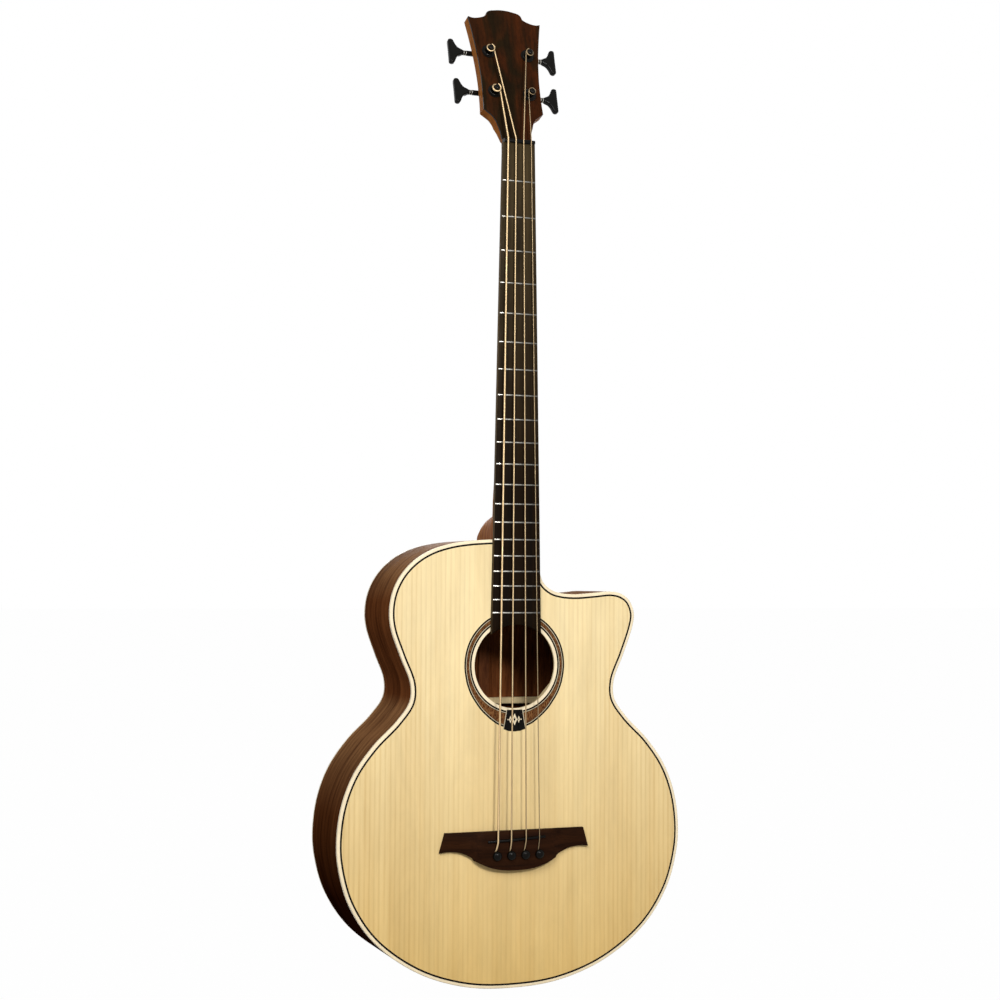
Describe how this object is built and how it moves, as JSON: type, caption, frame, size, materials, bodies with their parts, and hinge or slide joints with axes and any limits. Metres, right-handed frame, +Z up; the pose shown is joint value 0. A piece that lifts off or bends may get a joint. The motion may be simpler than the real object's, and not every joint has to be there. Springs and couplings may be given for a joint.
{
  "type": "acoustic bass guitar",
  "caption": "Hollow wooden acoustic bass guitar with a cutaway body, long fretted neck, wound strings and geared tuners that turn.",
  "frame": {"origin": "centre of the outer face of the strap button at the tail end", "axes": "+Z runs up the neck from the tail to the headstock, -Y is the front where the soundboard and strings are, +X is the treble side with the cutaway"},
  "size_m": [0.4558, 0.1332, 1.2541],
  "materials": {
    "spruce_top": "pale straight-grained spruce under gloss lacquer",
    "dark_mahogany": "dark stained mahogany, satin to gloss lacquer",
    "rosette_wood": "brown inlay with thin pale and black lines",
    "pale_binding": "cream binding",
    "block_wood": "bare mahogany",
    "brace_wood": "bare spruce",
    "neck_wood": "brown mahogany, satin lacquer",
    "head_veneer": "dark rosewood with black streaks, gloss lacquer",
    "fingerboard_wood": "oiled dark rosewood",
    "bridge_wood": "oiled dark rosewood",
    "black_plastic": "polished black",
    "black_metal": "black plated, satin",
    "fret_metal": "polished nickel silver",
    "string_bronze": "wound bronze",
    "rod_steel": "plain steel"
  },
  "bodies": {
    "root": {"soundboard": "spruce_top", "rosette": "rosette_wood", "back": "dark_mahogany", "side_bass": "dark_mahogany", "side_treble": "dark_mahogany", "top_binding": "pale_binding", "back_binding": "pale_binding", "neck_block": "block_wood", "tail_block": "block_wood", "top_bracing": "brace_wood", "back_bracing": "brace_wood", "bridge_plate": "bridge_wood", "strap_button": "black_plastic", "neck": "neck_wood", "truss_rod": "rod_steel", "fretboard": "fingerboard_wood", "nut": "black_plastic", "bridge": "bridge_wood", "saddle": "black_plastic", "fret_01": "fret_metal", "fret_02": "fret_metal", "fret_03": "fret_metal", "fret_04": "fret_metal", "fret_05": "fret_metal", "fret_06": "fret_metal", "fret_07": "fret_metal", "fret_08": "fret_metal", "fret_09": "fret_metal", "fret_10": "fret_metal", "fret_11": "fret_metal", "fret_12": "fret_metal", "fret_13": "fret_metal", "fret_14": "fret_metal", "fret_15": "fret_metal", "fret_16": "fret_metal", "fret_17": "fret_metal", "fret_18": "fret_metal", "fret_19": "fret_metal", "fret_20": "fret_metal", "bridge_pin_e": "black_plastic", "bridge_pin_a": "black_plastic", "bridge_pin_d": "black_plastic", "bridge_pin_g": "black_plastic", "string_e": "string_bronze", "string_a": "string_bronze", "string_d": "string_bronze", "string_g": "string_bronze", "headstock_veneer": "head_veneer", "tuner_housing_e": "black_metal", "tuner_housing_a": "black_metal", "tuner_housing_d": "black_metal", "tuner_housing_g": "black_metal"},
    "tuner_key_e": {"tuner_key_e": "black_metal"},
    "tuner_key_a": {"tuner_key_a": "black_metal"},
    "tuner_key_d": {"tuner_key_d": "black_metal"},
    "tuner_key_g": {"tuner_key_g": "black_metal"},
    "tuner_post_e": {"tuner_post_e": "black_metal"},
    "tuner_post_a": {"tuner_post_a": "black_metal"},
    "tuner_post_d": {"tuner_post_d": "black_metal"},
    "tuner_post_g": {"tuner_post_g": "black_metal"}
  },
  "joints": [
    {"name": "key_e_turn", "type": "hinge", "parent": "root", "child": "tuner_key_e", "pos_m": [-0.055, -0.0178, 1.13812], "axis": [1, 0, 0], "continuous": true},
    {"name": "key_a_turn", "type": "hinge", "parent": "root", "child": "tuner_key_a", "pos_m": [-0.055, -0.00239, 1.19331], "axis": [1, 0, 0], "continuous": true},
    {"name": "key_d_turn", "type": "hinge", "parent": "root", "child": "tuner_key_d", "pos_m": [0.055, -0.00239, 1.19331], "axis": [1, 0, 0], "continuous": true},
    {"name": "key_g_turn", "type": "hinge", "parent": "root", "child": "tuner_key_g", "pos_m": [0.055, -0.0178, 1.13812], "axis": [1, 0, 0], "continuous": true},
    {"name": "post_e_turn", "type": "hinge", "parent": "root", "child": "tuner_post_e", "pos_m": [-0.024, -0.03878, 1.13671], "axis": [0, -0.9632, 0.2689], "continuous": true},
    {"name": "post_a_turn", "type": "hinge", "parent": "root", "child": "tuner_post_a", "pos_m": [-0.0268, -0.02337, 1.1919], "axis": [0, -0.9632, 0.2689], "continuous": true},
    {"name": "post_d_turn", "type": "hinge", "parent": "root", "child": "tuner_post_d", "pos_m": [0.0268, -0.02337, 1.1919], "axis": [0, -0.9632, 0.2689], "continuous": true},
    {"name": "post_g_turn", "type": "hinge", "parent": "root", "child": "tuner_post_g", "pos_m": [0.024, -0.03878, 1.13671], "axis": [0, -0.9632, 0.2689], "continuous": true}
  ],
  "couplings": [
    {"joint": "post_e_turn", "follows": "key_e_turn", "ratio": -0.071429},
    {"joint": "post_a_turn", "follows": "key_a_turn", "ratio": -0.071429},
    {"joint": "post_d_turn", "follows": "key_d_turn", "ratio": 0.071429},
    {"joint": "post_g_turn", "follows": "key_g_turn", "ratio": 0.071429}
  ]
}
